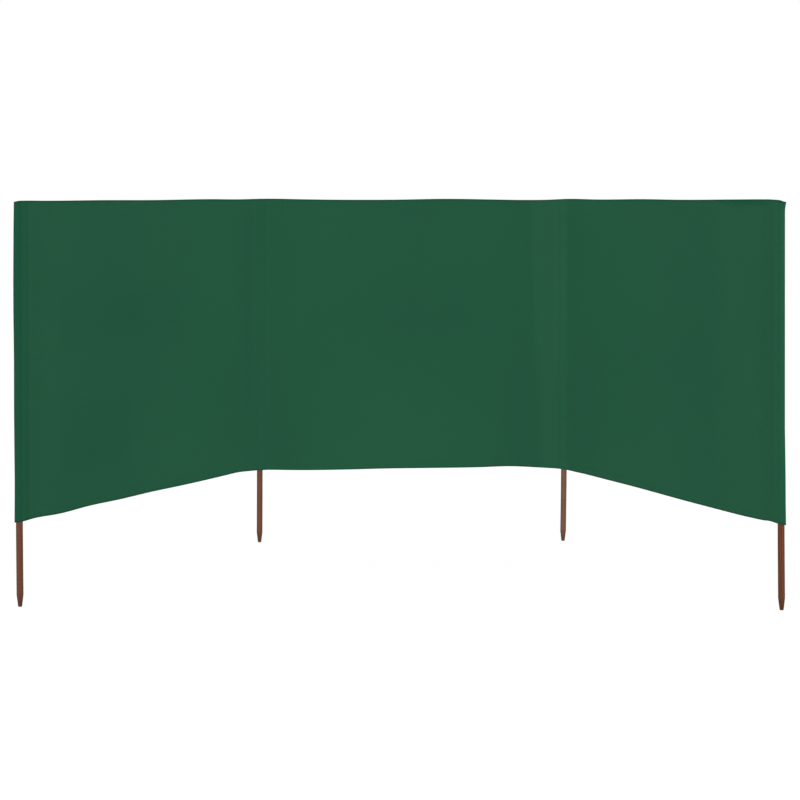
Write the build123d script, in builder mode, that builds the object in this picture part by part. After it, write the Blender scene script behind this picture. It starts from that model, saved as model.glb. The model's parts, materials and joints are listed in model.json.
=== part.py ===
"""Beach windbreak: three cloth panels on four round wooden stakes.

Millimetres, +Z up. The origin is the flat end of the inner left stake's point. +X runs along the
middle panel to the inner right stake, and both wings come forward, towards -Y.
Each panel is bound by folded hems above and below and by a folded seam at each end, and cloth
sleeves, closed at the top, slip over the stakes. Snug sleeves on the two inner stakes carry the
turning wings, and loose flat ones hold the two outer stakes.
"""
import os

from build123d import *

# Stakes
stake_length = 1500.0
stake_diameter = 25.0
point_length = 44.0
point_end_diameter = 14.5
point_edge_radius = 1.5
stake_top_chamfer = 2.0

# Layout of the stakes in plan, the wings folded forward from the line of the middle panel
stake_pitch = 1333.0
left_fold_angle = 52.4
right_fold_angle = 60.8

# Cloth, modelled thicker than the woven fabric, its long edges drawn in between the stakes
cloth_height = 1188.0
cloth_thickness = 2.0
fold_thickness = 1.0
hem_width = 26.0
seam_width = 24.0
fold_radius = 1.4
top_sag = 4.0
bottom_rise = 8.0
edge_ease = 0.5

# Sleeves over the stakes
sleeve_clearance = 0.3
sleeve_wall = 1.0
sleeve_shoulder_radius = 0.8
seam_clearance = 0.3
pocket_reach = 22.0
pocket_seam_start = 34.0
pocket_fold_radius = 2.0

# Sizes that follow from the ones above
stake_radius = stake_diameter / 2
sleeve_bore_radius = stake_radius + sleeve_clearance
sleeve_radius = sleeve_bore_radius + sleeve_wall
sleeve_closed_at = stake_length + sleeve_clearance
cloth_top = stake_length
cloth_bottom = cloth_top - cloth_height
band_thickness = cloth_thickness + 2 * fold_thickness
snug_seam_start = sleeve_radius + seam_clearance

os.makedirs("parts", exist_ok=True)


def plan_towards(place: Vector, angle: float) -> Plane:
    """Level plane with its origin on a stake's axis and local X along the panel."""
    return Plane(origin=place, x_dir=Vector(1, 0, 0).rotate(Axis.Z, angle), z_dir=(0, 0, 1))


# One level plane for each end of each panel, looking from that end's stake along the panel
inner_left = Vector(0, 0, 0)
inner_right = Vector(stake_pitch, 0, 0)
left_plan = plan_towards(inner_left, 180 + left_fold_angle)
middle_plan = plan_towards(inner_left, 0)
right_plan = plan_towards(inner_right, -right_fold_angle)
outer_left = left_plan.from_local_coords(Vector(stake_pitch, 0, 0))
outer_right = right_plan.from_local_coords(Vector(stake_pitch, 0, 0))
left_plan_back = plan_towards(outer_left, left_fold_angle)
middle_plan_back = plan_towards(inner_right, 180)
right_plan_back = plan_towards(outer_right, 180 - right_fold_angle)

stake_places = {
    "outer_left": outer_left,
    "inner_left": inner_left,
    "inner_right": inner_right,
    "outer_right": outer_right,
}
snug_sleeve_places = {"inner_left": inner_left, "inner_right": inner_right}
pocket_sleeve_plans = {"outer_left": left_plan_back, "outer_right": right_plan_back}
# Each panel with its plan and with where its first and last seams start from their stakes
panel_runs = {
    "left": (left_plan, snug_seam_start, pocket_seam_start),
    "middle": (middle_plan, snug_seam_start, snug_seam_start),
    "right": (right_plan, snug_seam_start, pocket_seam_start),
}
seam_runs = {
    "left_inner": (left_plan, snug_seam_start),
    "left_outer": (left_plan_back, pocket_seam_start),
    "middle_left": (middle_plan, snug_seam_start),
    "middle_right": (middle_plan_back, snug_seam_start),
    "right_inner": (right_plan, snug_seam_start),
    "right_outer": (right_plan_back, pocket_seam_start),
}


def write(piece: Part, name: str) -> None:
    """Labels a finished piece and writes it as one file."""
    piece.label = name
    export_step(piece, f"parts/{name}.step")


def upright_section(place: Vector) -> Plane:
    """Upright plane through a stake's axis, local X outwards and local Y up."""
    return Plane(origin=place, x_dir=(1, 0, 0), z_dir=(0, -1, 0))


def side_of(plan: Plane) -> Plane:
    """Upright plane down the middle of a panel, local X along the panel and local Y up."""
    return Plane(origin=plan.origin, x_dir=plan.x_dir, z_dir=plan.x_dir.cross(Vector(0, 0, 1)))


# Round stakes with a turned point
for side, place in stake_places.items():
    with BuildPart() as stake:
        with BuildSketch(upright_section(place)):
            with BuildLine():
                Polyline(
                    (0, 0),
                    (point_end_diameter / 2, 0),
                    (stake_radius, point_length),
                    (stake_radius, stake_length),
                    (0, stake_length),
                    close=True,
                )
            make_face()
        revolve(axis=Axis(place, (0, 0, 1)))
        fillet(stake.edges().filter_by(GeomType.CIRCLE).sort_by(Axis.Z)[0], radius=point_edge_radius)
        chamfer(stake.edges().filter_by(GeomType.CIRCLE).sort_by(Axis.Z)[-1], length=stake_top_chamfer)
    write(stake.part, f"{side}_stake")

# Snug sleeves, open below and sewn shut over the stakes' tops
for side, place in snug_sleeve_places.items():
    with BuildPart() as sleeve:
        with BuildSketch(upright_section(place)):
            with BuildLine():
                Polyline(
                    (sleeve_bore_radius, cloth_bottom),
                    (sleeve_radius, cloth_bottom),
                    (sleeve_radius, sleeve_closed_at + sleeve_wall),
                    (0, sleeve_closed_at + sleeve_wall),
                    (0, sleeve_closed_at),
                    (sleeve_bore_radius, sleeve_closed_at),
                    close=True,
                )
            make_face()
        revolve(axis=Axis(place, (0, 0, 1)))
        shoulder = sleeve.edges().filter_by(GeomType.CIRCLE).group_by(Axis.Z)[-1]
        fillet(shoulder, radius=sleeve_shoulder_radius)
    write(sleeve.part, f"{side}_sleeve")

# Loose flat sleeves: cloth folded back past the outer stakes and drawn over them, sewn shut above
for side, plan in pocket_sleeve_plans.items():
    with BuildPart() as sleeve:
        with BuildSketch(plan.offset(cloth_bottom)):
            Circle(sleeve_radius)
            with Locations((pocket_fold_radius - pocket_reach, 0)):
                Circle(pocket_fold_radius)
            with Locations((pocket_seam_start - pocket_fold_radius, 0)):
                Rectangle(2 * pocket_fold_radius, band_thickness)
            make_hull()
        extrude(amount=sleeve_closed_at + sleeve_wall - cloth_bottom)
        fillet(sleeve.faces().sort_by(Axis.Z)[-1].edges(), radius=sleeve_shoulder_radius)
        offset(amount=-sleeve_wall, openings=sleeve.faces().sort_by(Axis.Z)[0])
    write(sleeve.part, f"{side}_sleeve")

# Panels of cloth, held at all four edges inside the folds of the hems and seams
for side, (plan, first_start, last_start) in panel_runs.items():
    ease = fold_thickness + edge_ease
    near, far = first_start + ease, stake_pitch - last_start - ease
    hem_near, hem_far = first_start + seam_width, stake_pitch - last_start - seam_width
    low, high = cloth_bottom + ease, cloth_top - ease
    centre = (hem_near + hem_far) / 2
    with BuildPart() as panel:
        with BuildSketch(side_of(plan)):
            with BuildLine():
                Line((near, low), (hem_near, low))
                ThreePointArc((hem_near, low), (centre, low + bottom_rise), (hem_far, low))
                Polyline((hem_far, low), (far, low), (far, high), (hem_far, high))
                ThreePointArc((hem_far, high), (centre, high - top_sag), (hem_near, high))
                Polyline((hem_near, high), (near, high), (near, low))
            make_face()
        extrude(amount=cloth_thickness / 2, both=True)
    write(panel.part, f"{side}_panel")

# Seams: cloth folded round each upright edge of a panel, where the sleeve is sewn on
for side, (plan, start) in seam_runs.items():
    with BuildPart() as seam:
        with BuildSketch(plan.offset(cloth_bottom)) as fold:
            with Locations((start + seam_width / 2, 0)):
                Rectangle(seam_width, band_thickness)
            with Locations((start + fold_thickness + seam_width / 2, 0)):
                Rectangle(seam_width, cloth_thickness, mode=Mode.SUBTRACT)
            fillet(fold.vertices().group_by(Axis.X)[0], radius=fold_radius)
        extrude(amount=cloth_height)
    write(seam.part, f"{side}_seam")

# Hems: cloth folded round the top and bottom edge of a panel, from seam to seam
hem_edges = {"top": (cloth_top, -top_sag, -1), "bottom": (cloth_bottom, bottom_rise, 1)}
for side, (plan, first_start, last_start) in panel_runs.items():
    near, far = first_start + seam_width, stake_pitch - last_start - seam_width
    centre = (near + far) / 2
    for edge, (height, bow, inwards) in hem_edges.items():
        inner = height + inwards * hem_width
        slot_floor = height + inwards * fold_thickness
        with BuildPart() as hem:
            with BuildSketch(side_of(plan)):
                with BuildLine():
                    ThreePointArc((near, height), (centre, height + bow), (far, height))
                    Line((far, height), (far, inner))
                    ThreePointArc((far, inner), (centre, inner + bow), (near, inner))
                    Line((near, inner), (near, height))
                make_face()
            extrude(amount=band_thickness / 2, both=True)
            folded = hem.faces().filter_by(GeomType.CYLINDER).sort_by(Axis.Z)[-1 if inwards < 0 else 0]
            fillet(folded.edges().filter_by(GeomType.CIRCLE), radius=fold_radius)
            with BuildSketch(side_of(plan)):
                with BuildLine():
                    ThreePointArc((near, slot_floor), (centre, slot_floor + bow), (far, slot_floor))
                    Line((far, slot_floor), (far, inner + inwards * hem_width))
                    Line((far, inner + inwards * hem_width), (near, inner + inwards * hem_width))
                    Line((near, inner + inwards * hem_width), (near, slot_floor))
                make_face()
            extrude(amount=cloth_thickness / 2, both=True, mode=Mode.SUBTRACT)
        write(hem.part, f"{side}_{edge}_hem")
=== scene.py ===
"""Dresses the beach windbreak in woven cloth, thread and stained wood, and sets up its studio.

Metres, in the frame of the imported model: +Z is up, +X runs along the middle panel and -Y points to
the sheltered side. Each panel has measures of its own: u runs along it from its left stake to its
right one as seen from the sheltered side, z is the height, and n points to the sheltered side.
"""
import json
import logging
import math
from dataclasses import dataclass, field
from enum import Enum

import bpy
import numpy as np
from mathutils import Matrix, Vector

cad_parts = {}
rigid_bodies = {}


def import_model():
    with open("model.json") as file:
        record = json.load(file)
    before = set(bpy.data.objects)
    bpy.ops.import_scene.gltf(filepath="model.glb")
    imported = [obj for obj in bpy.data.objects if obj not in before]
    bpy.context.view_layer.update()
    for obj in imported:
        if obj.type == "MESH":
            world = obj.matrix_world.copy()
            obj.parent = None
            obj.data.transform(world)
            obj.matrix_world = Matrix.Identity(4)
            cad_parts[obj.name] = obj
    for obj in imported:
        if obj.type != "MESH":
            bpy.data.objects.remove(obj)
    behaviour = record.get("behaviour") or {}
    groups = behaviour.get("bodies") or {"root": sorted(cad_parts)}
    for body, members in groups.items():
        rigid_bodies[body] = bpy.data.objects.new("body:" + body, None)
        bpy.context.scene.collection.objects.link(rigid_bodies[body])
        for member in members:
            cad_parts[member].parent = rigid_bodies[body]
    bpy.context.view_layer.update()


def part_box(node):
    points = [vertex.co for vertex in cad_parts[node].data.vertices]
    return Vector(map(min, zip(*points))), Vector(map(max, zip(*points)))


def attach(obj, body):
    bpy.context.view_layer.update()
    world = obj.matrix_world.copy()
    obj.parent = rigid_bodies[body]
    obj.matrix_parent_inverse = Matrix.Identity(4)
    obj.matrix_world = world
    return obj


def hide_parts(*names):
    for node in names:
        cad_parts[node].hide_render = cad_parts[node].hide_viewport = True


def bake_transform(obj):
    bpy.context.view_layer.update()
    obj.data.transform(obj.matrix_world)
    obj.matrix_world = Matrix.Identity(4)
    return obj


for leftover in list(bpy.data.objects):
    bpy.data.objects.remove(leftover)
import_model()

log = logging.getLogger("windbreak")
Array = np.ndarray
Socket = bpy.types.NodeSocket
Knots = tuple[tuple[float, float], ...]
MM = 0.001
UV_NAME = "weave"
# Name of the point attribute that makes a piece lighter or darker: mostly painted shade on the cloth, faded
# stain on the stakes
TONE_NAME = "tone"

# Layers of cloth, measured along the cloth's normal from the middle of the front layer
CLOTH = 0.7 * MM
FRONT = CLOTH / 2
FOLD_GAP = 0.3 * MM
BAND_INSIDE = -(FRONT + FOLD_GAP)
BAND_OUTSIDE = BAND_INSIDE - 2 * CLOTH
FOLD_RADIUS = (FRONT - BAND_OUTSIDE) / 2

# Width of a hem, distance of its stitches from the edge, and how far stitches dent both faces
HEM_WIDTH = 26 * MM
HEM_STITCH = 22.5 * MM
BACK_DENT = 0.3 * MM
FRONT_DENT = 0.22 * MM

# Distance over which waves and ripples fade out at a panel's seams, and a curl at its own ends
WAVES_FADE = 150 * MM
RIPPLES_FADE = 25 * MM
CURL_FADE = 60 * MM

# How far down the curl of a top edge reaches, how high every top edge is rolled, and how far down
CURL_REACH = 16 * MM
EDGE_ROLL = 1.0 * MM
ROLL_REACH = 6 * MM

# Painted shade along a hemmed edge, where the rolled edge turns away: how much darker it is, as a share,
# and how far in it reaches
EDGE_SHADE_TONE = -0.25
EDGE_SHADE_REACH = 5.5 * MM

# Distance of a seam from its stake's axis, and width of its band
SNUG_SEAM = (26 * MM, 16 * MM)
LOOSE_SEAM = (36 * MM, 22 * MM)

# How near the cloth passes a stake's axis, measured to its middle, and how far over its head
PASSES = 13.1 * MM
HEAD_ROOM = 3.8 * MM

# How closely the cloth is divided, at folds, along arcs and bends, and in rows and columns
FOLD_POINTS = 9
ARC_STEP = 0.035
BEND_POINTS = 1201
ROW_STEP = 12 * MM
COLUMN_STEP = 6.2 * MM
NEAR_EDGE = np.array([1.2, 4, 8, 13, 18, 20.5, 22.5, 24.5, 27, 32, 39, 48, 60]) * MM
NEAR_SEAM = np.array([0, 1.5, 3, 5, 8, 11, 14, 18, 23, 29, 36, 44, 53]) * MM


class Post(Enum):
    """The four stakes, from left to right as seen from the sheltered side."""

    OUTER_LEFT = "outer_left"
    INNER_LEFT = "inner_left"
    INNER_RIGHT = "inner_right"
    OUTER_RIGHT = "outer_right"

    @property
    def plan(self) -> Array:
        """Where its axis stands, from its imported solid."""
        low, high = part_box(f"{self.value}_stake")
        return np.array([(low.x + high.x) / 2, (low.y + high.y) / 2])

    @property
    def radius(self) -> float:
        """Its radius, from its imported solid."""
        low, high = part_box(f"{self.value}_stake")
        return (high.x - low.x) / 2


class Edge(Enum):
    """The long edges of a panel, with the way that points from each into the cloth."""

    TOP = -1
    BOTTOM = 1


def smooth_step(x: Array) -> Array:
    """A soft ramp that is 0 below 0 and 1 above 1."""
    x = np.clip(x, 0, 1)
    return x * x * (3 - 2 * x)


def bell(x: Array, width: float) -> Array:
    """A soft bump of height 1 round 0."""
    return np.exp(-((x / width) ** 2))


def between(x: Array, low: Array, high: Array, soft: float, out: float = 0.0) -> Array:
    """1 well inside a range and 0 past it, its soft ends shifted out by a share of their width."""
    return smooth_step((x - low) / soft + out) * smooth_step((high - x) / soft + out)


def smooth_through(knots: Knots, x: Array) -> Array:
    """Follows a soft curve through a few chosen points.

    Args:
        knots: The points, with their first numbers rising.
        x: Where the curve is read.

    Returns:
        The curve's value at each x, held level past both ends.
    """
    xs, ys = np.array(knots, float).T
    slopes = np.gradient(ys, xs)
    k = np.clip(np.searchsorted(xs, x) - 1, 0, len(xs) - 2)
    span = xs[k + 1] - xs[k]
    t = np.clip((x - xs[k]) / span, 0, 1)
    return (
        (1 + 2 * t) * (1 - t) ** 2 * ys[k]
        + t * (1 - t) ** 2 * span * slopes[k]
        + t * t * (3 - 2 * t) * ys[k + 1]
        - t * t * (1 - t) * span * slopes[k + 1]
    )


def travelled(path: Array) -> Array:
    """Distance along a path to each of its points."""
    return np.concatenate([[0], np.cumsum(np.linalg.norm(np.diff(path, axis=0), axis=1))])


def spread(path: Array, count: int) -> Array:
    """Spreads points evenly along a path.

    Args:
        path: The path's own points, one in each row.
        count: How many points it gets.

    Returns:
        The new points, the two ends among them.
    """
    reach = travelled(path)
    wanted = np.linspace(0, reach[-1], count)
    return np.stack([np.interp(wanted, reach, path[:, k]) for k in range(path.shape[1])], axis=1)


def joined(*parts: tuple[Array, int]) -> Array:
    """Lays parts of a way end to end, each spread over its own count of points."""
    return np.concatenate([*(spread(way, count)[:-1] for way, count in parts), parts[-1][0][-1:]])


def arc(radius: float, first: float, last: float, centre: tuple[float, float] = (0, 0)) -> Array:
    """Points of a plan arc.

    Args:
        radius: Its radius.
        first: The angle it starts at, in radians.
        last: The angle it ends at.
        centre: Its centre.

    Returns:
        Its points, about two degrees apart.
    """
    turns = np.linspace(first, last, max(3, int(abs(last - first) / ARC_STEP)))
    return np.array(centre) + radius * np.stack([np.cos(turns), np.sin(turns)], axis=1)


def edge_shade(*distances: Array) -> Array:
    """Painted shade at distances from hemmed edges, which darkens the cloth along its rolled edges."""
    return EDGE_SHADE_TONE * sum(bell(away, EDGE_SHADE_REACH) for away in distances)


@dataclass(frozen=True)
class Ripple:
    """The uneven ripple that the pull of a sewn row leaves in the cloth beside it.

    Attributes:
        height: Its height at the row.
        length: Its length along the row.
        reach: How far from the row it runs out.
    """

    height: float
    length: float
    reach: float

    def at(self, x: Array, away: Array, phase: float) -> Array:
        """Its height at x along the row, and at a distance away from the row."""
        drift = 1.4 * np.sin(x / (4.3 * self.length) * math.tau + 2.1 * phase)
        swell = 0.6 + 0.4 * np.sin(x / (11.7 * self.length) * math.tau + phase)
        wave = swell * np.sin(x / self.length * math.tau + drift + phase)
        return self.height * wave * bell(away, self.reach)


HEM_RIPPLE = Ripple(0.45 * MM, 41 * MM, 19 * MM)
SEAM_RIPPLE = Ripple(0.4 * MM, 37 * MM, 17 * MM)


@dataclass(frozen=True)
class Run:
    """The upright plane of one panel.

    Attributes:
        start: Plan position of the stake at its left end.
        end: Plan position of the stake at its right end.
        lean: How far the stake at its right end leans in for each metre up.
        stiff: Distance from that stake within which the cloth leans as much as the stake.
    """

    start: Array
    end: Array
    lean: float = 0.0
    stiff: float = 60 * MM

    @property
    def length(self) -> float:
        """Distance between the two stakes' axes."""
        return float(np.linalg.norm(self.end - self.start))

    @property
    def along(self) -> Array:
        """Plan direction from the left stake to the right one."""
        return (self.end - self.start) / self.length

    @property
    def sheltered(self) -> Array:
        """Plan direction to the sheltered side."""
        return np.array([self.along[1], -self.along[0]])

    def points(self, u: Array, n: Array, z: Array) -> Array:
        """Turns the panel's own measures into points of the frame."""
        u = u - self.lean * z * np.clip(u / (self.length - self.stiff), 0, 1)
        plan = self.start + u[..., None] * self.along + n[..., None] * self.sheltered
        return np.concatenate([plan, z[..., None]], axis=-1)


@dataclass(frozen=True)
class Lift:
    """How far the cloth stands off its panel's plane as it comes to a stake.

    Attributes:
        u: Places along the panel, rising.
        n: The cloth's middle there, towards the sheltered side.
    """

    u: Array
    n: Array

    def at(self, u: Array) -> Array:
        """The stand-off at u."""
        return np.interp(u, self.u, self.n)

    def slope(self, u: Array) -> Array:
        """How fast the stand-off grows along the panel at u."""
        return np.interp(u, self.u, np.gradient(self.n, self.u))


@dataclass(frozen=True)
class InnerCorner:
    """The cloth's way across an inner stake, from one panel into the next.

    Attributes:
        post: The stake.
        left: The panel that ends at the stake.
        right: The panel that starts there.
        left_reach: Distance from the stake at which the cloth leaves the left panel's plane.
        right_reach: The same on the right.
        tone: How much lighter the sleeve is painted, as a share: painted shade of its doubled cloth.
    """

    post: Post
    left: Run
    right: Run
    left_reach: float
    right_reach: float
    tone: float

    def bend(self, pull: float) -> Array:
        """The front layer's plan about the stake's axis, for a pull towards the axis."""
        t = np.linspace(0, 1, BEND_POINTS)[:, None]
        a, b = (1 - t) ** 2, t**2
        way = a * self.left_reach * -self.left.along + b * self.right_reach * self.right.along
        return way / (a + 2 * pull * t * (1 - t) + b)

    def front(self) -> Array:
        """The front layer's plan, pulled until it just passes the stake."""
        slack, tight, halvings = 0.0, 6.0, 40
        for _ in range(halvings):
            pull = (slack + tight) / 2
            near = np.linalg.norm(self.bend(pull), axis=1).min()
            slack, tight = (pull, tight) if near > PASSES else (slack, pull)
        return self.bend(slack)

    def lifts(self) -> tuple[Lift, Lift]:
        """The stand-off of the left panel's right end and of the right panel's left end."""
        way = self.front()
        half = len(way) // 2
        left_u = self.left.length + way[:half] @ self.left.along
        right = way[half:][::-1]
        return (
            Lift(left_u, way[:half] @ self.left.sheltered),
            Lift((right @ self.right.along)[::-1], (right @ self.right.sheltered)[::-1]),
        )

    def layers(self, count: int) -> tuple[Array, Array]:
        """Both layers' plan about the stake's axis.

        Args:
            count: How many points each gets.

        Returns:
            The front layer from the left seam to the right one, and the back layer's way back
            round the stake.
        """
        way = self.front()
        places = np.arange(len(way))
        half = len(way) // 2
        first = np.interp(-SNUG_SEAM[0], (way @ self.left.along)[:half], places[:half])
        last = np.interp(SNUG_SEAM[0], (way @ self.right.along)[half:], places[half:])
        kept = np.concatenate([[first], places[(places > first + 0.2) & (places < last - 0.2)], [last]])
        front = np.stack([np.interp(kept, places, way[:, k]) for k in (0, 1)], axis=1)
        held = []
        for end, step in ((0, 1), (-1, -1)):
            tangent = step * (front[end + step] - front[end])
            normal = np.array([tangent[1], -tangent[0]]) / np.linalg.norm(tangent)
            held.append(front[end] + (BAND_OUTSIDE + FRONT) * normal)
        from_left, from_right = (math.acos(PASSES / float(np.linalg.norm(h))) for h in held)
        start = math.atan2(held[1][1], held[1][0]) + from_right
        stop = math.atan2(held[0][1], held[0][0]) - from_left
        stop += math.tau * math.ceil((start - stop) / math.tau)
        back = np.concatenate([held[1][None], arc(PASSES, start, stop), held[0][None]])
        return spread(front, count), spread(back, count)


@dataclass(frozen=True)
class Crease:
    """A soft upright crease, where the cloth was folded.

    Attributes:
        top: Its place along the panel at the top.
        bottom: Its place along the panel at the bottom.
        depth: How far it goes in, away from the sheltered side.
        width: How far it spreads.
        blunt: How far its bottom is rounded.
    """

    top: float
    bottom: float
    depth: float
    width: float
    blunt: float = 4 * MM

    def at(self, u: Array, rise: Array) -> Array:
        """Its depth at u, and at a height from 0 at the bottom to 1 at the top."""
        away = u - (self.bottom + (self.top - self.bottom) * rise)
        return -self.depth * np.exp(-(np.sqrt(away**2 + self.blunt**2) - self.blunt) / self.width)


@dataclass(frozen=True)
class Shade:
    """A soft patch of cloth painted a little lighter or darker; several are painted light and shade beside
    folds and under a curled edge.

    Attributes:
        left: Place of its left side along the panel, at the panel's top and at its bottom.
        right: The same of its right side.
        low: Height of its lower side.
        high: Height of its upper side.
        change: How much lighter it is, as a share.
        soft: How softly its sides run out along the panel.
        soft_up: How softly they run out upwards and downwards.
    """

    left: tuple[float, float]
    right: tuple[float, float]
    low: float
    high: float
    change: float
    soft: float = 60 * MM
    soft_up: float = 120 * MM

    def at(self, u: Array, z: Array, rise: Array) -> Array:
        """Its change at u and z, where rise is 0 at the panel's bottom and 1 at its top."""
        left, right = (side[1] + (side[0] - side[1]) * rise for side in (self.left, self.right))
        along = between(u, left, right, self.soft, 0.5)
        return self.change * along * between(z, self.low, self.high, self.soft_up, 0.5)


@dataclass
class ClothMesh:
    """A closed piece of cloth: an outer and an inner skin with the same rows and columns.

    Attributes:
        outer: Points of the outer skin, by row and column.
        inner: Points of the inner skin.
        uv: The cloth's own measures in metres, by row and column.
        tone: How much lighter the cloth is painted, as a share, by row and column, mostly painted shade.
        round_it: Whether the columns close into a loop.
        sewn_top: Whether a loop is closed at its last row, front half to back half.
        blunt: Columns whose faces are blunt ends, which don't shade smoothly.
    """

    outer: Array
    inner: Array
    uv: Array
    tone: Array | float = 0.0
    round_it: bool = False
    sewn_top: bool = False
    blunt: tuple[int, ...] = ()

    def faces(self) -> tuple[Array, Array]:
        """The faces as rows of four points, and whether each one shades smoothly."""
        rows, cols = self.outer.shape[:2]
        outer = np.arange(rows * cols).reshape(rows, cols)
        inner = outer + rows * cols
        if self.round_it:
            outer, inner = (np.concatenate([g, g[:, :1]], axis=1) for g in (outer, inner))
        skins = [
            np.stack([outer[:-1, :-1], outer[:-1, 1:], outer[1:, 1:], outer[1:, :-1]], -1),
            np.stack([inner[:-1, :-1], inner[1:, :-1], inner[1:, 1:], inner[:-1, 1:]], -1),
        ]
        soft = [np.ones(s.shape[:2], bool) for s in skins]
        for column in self.blunt:
            soft[0][:, column] = False
        rims = [np.stack([outer[0, 1:], outer[0, :-1], inner[0, :-1], inner[0, 1:]], -1)]
        if self.sewn_top:
            half = cols // 2
            for grid, turn in ((outer[-1, :cols], 1), (inner[-1, :cols], -1)):
                front, back = grid[:half], grid[half:][::-1]
                lid = np.stack([front[:-1], front[1:], back[1:], back[:-1]], -1)[:, ::turn]
                skins.append(lid)
                soft.append(np.ones(len(lid), bool))
        else:
            last = [outer[-1, :-1], outer[-1, 1:], inner[-1, 1:], inner[-1, :-1]]
            rims.append(np.stack(last, -1))
        if not self.round_it:
            rims.append(np.stack([outer[:-1, 0], outer[1:, 0], inner[1:, 0], inner[:-1, 0]], -1))
            rims.append(np.stack([outer[1:, -1], outer[:-1, -1], inner[:-1, -1], inner[1:, -1]], -1))
        parts = [s.reshape(-1, 4) for s in skins] + rims
        smooth = [s.ravel() for s in soft] + [np.zeros(len(r), bool) for r in rims]
        return np.concatenate(parts), np.concatenate(smooth)

    def build(self, name: str) -> bpy.types.Object:
        """Makes the object, with its faces pointing outwards.

        Args:
            name: The piece's name.

        Returns:
            The new object, in the scene.
        """
        points = np.concatenate([self.outer.reshape(-1, 3), self.inner.reshape(-1, 3)])
        faces, smooth = self.faces()
        a, b, c, d = (points[faces[:, k]] for k in range(4))
        volume = (a * np.cross(b, c)).sum() + (a * np.cross(c, d)).sum()
        if volume < 0:
            faces = faces[:, ::-1]
        uv = np.concatenate([self.uv.reshape(-1, 2)] * 2)
        tone = np.tile(np.broadcast_to(self.tone, self.outer.shape[:2]).ravel(), 2)
        return make_object(name, points, faces.tolist(), tone, uv, smooth)


def placed(name: str, data: bpy.types.ID) -> bpy.types.Object:
    """Puts a new object into the scene."""
    made = bpy.data.objects.new(name, data)
    bpy.context.scene.collection.objects.link(made)
    return made


def make_object(
    name: str,
    points: Array,
    faces: list[list[int]],
    tone: Array | None = None,
    uv: Array | None = None,
    smooth: Array | None = None,
) -> bpy.types.Object:
    """Makes a mesh object with its place in its mesh.

    Args:
        name: The piece's name.
        points: Its points in the frame.
        faces: Point numbers of each face.
        tone: How its colour changes at each point, if its material follows it.
        uv: The piece's own measures at each point, if its material follows them.
        smooth: Whether each face shades smoothly, all of them where it is left out.

    Returns:
        The new object, in the scene.
    """
    mesh = bpy.data.meshes.new(name)
    mesh.from_pydata(points.tolist(), [], faces)
    mesh.polygons.foreach_set("use_smooth", np.ones(len(faces), bool) if smooth is None else smooth)
    if uv is not None:
        corners = np.zeros(len(mesh.loops), np.int32)
        mesh.loops.foreach_get("vertex_index", corners)
        mesh.uv_layers.new(name=UV_NAME).data.foreach_set("uv", uv[corners].astype(np.float32).ravel())
    mesh.validate()
    if tone is not None:
        shown = mesh.attributes.new(TONE_NAME, "FLOAT", "POINT")
        shown.data.foreach_set("value", tone.astype(np.float32))
    return placed(name, mesh)


def rows_between(low: Array, high: Array, near: Array = NEAR_EDGE) -> Array:
    """Heights of a cloth's rows, closer together near its two edges.

    Args:
        low: Height of the lower edge in each column.
        high: Height of the upper edge in each column.
        near: Distances of the first rows from each edge.

    Returns:
        The heights by row and column.
    """
    count = int(round((high - low).mean() / ROW_STEP)) - 2 * int(near[-1] / ROW_STEP)
    share = np.linspace(0, 1, count)[1:-1, None]
    first, last = low + near[-1], high - near[-1]
    return np.concatenate([low + near[:, None], first + share * (last - first), high - near[::-1, None]])


class Graph:
    """A tree of nodes while it is put together."""

    def __init__(self, tree: bpy.types.NodeTree) -> None:
        """Takes the tree that the nodes go into."""
        self.tree = tree

    def fill(self, node: bpy.types.Node, inputs: dict) -> None:
        """Links sockets to a node's inputs by name or number, or writes values into them."""
        for key, value in inputs.items():
            if isinstance(value, Socket):
                self.tree.links.new(value, node.inputs[key])
            else:
                node.inputs[key].default_value = value

    def add(self, kind: str, inputs: dict | None = None, **settings) -> bpy.types.NodeOutputs:
        """Adds a node.

        Args:
            kind: The node's type.
            inputs: Values or sockets by input name or number.
            **settings: The node's own settings.

        Returns:
            The new node's outputs.
        """
        node = self.tree.nodes.new(kind)
        for key, value in settings.items():
            setattr(node, key, value)
        self.fill(node, inputs or {})
        return node.outputs

    def math(self, operation: str, a, b=0.0) -> Socket:
        """One step of arithmetic."""
        return self.add("ShaderNodeMath", {0: a, 1: b}, operation=operation)[0]


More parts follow.
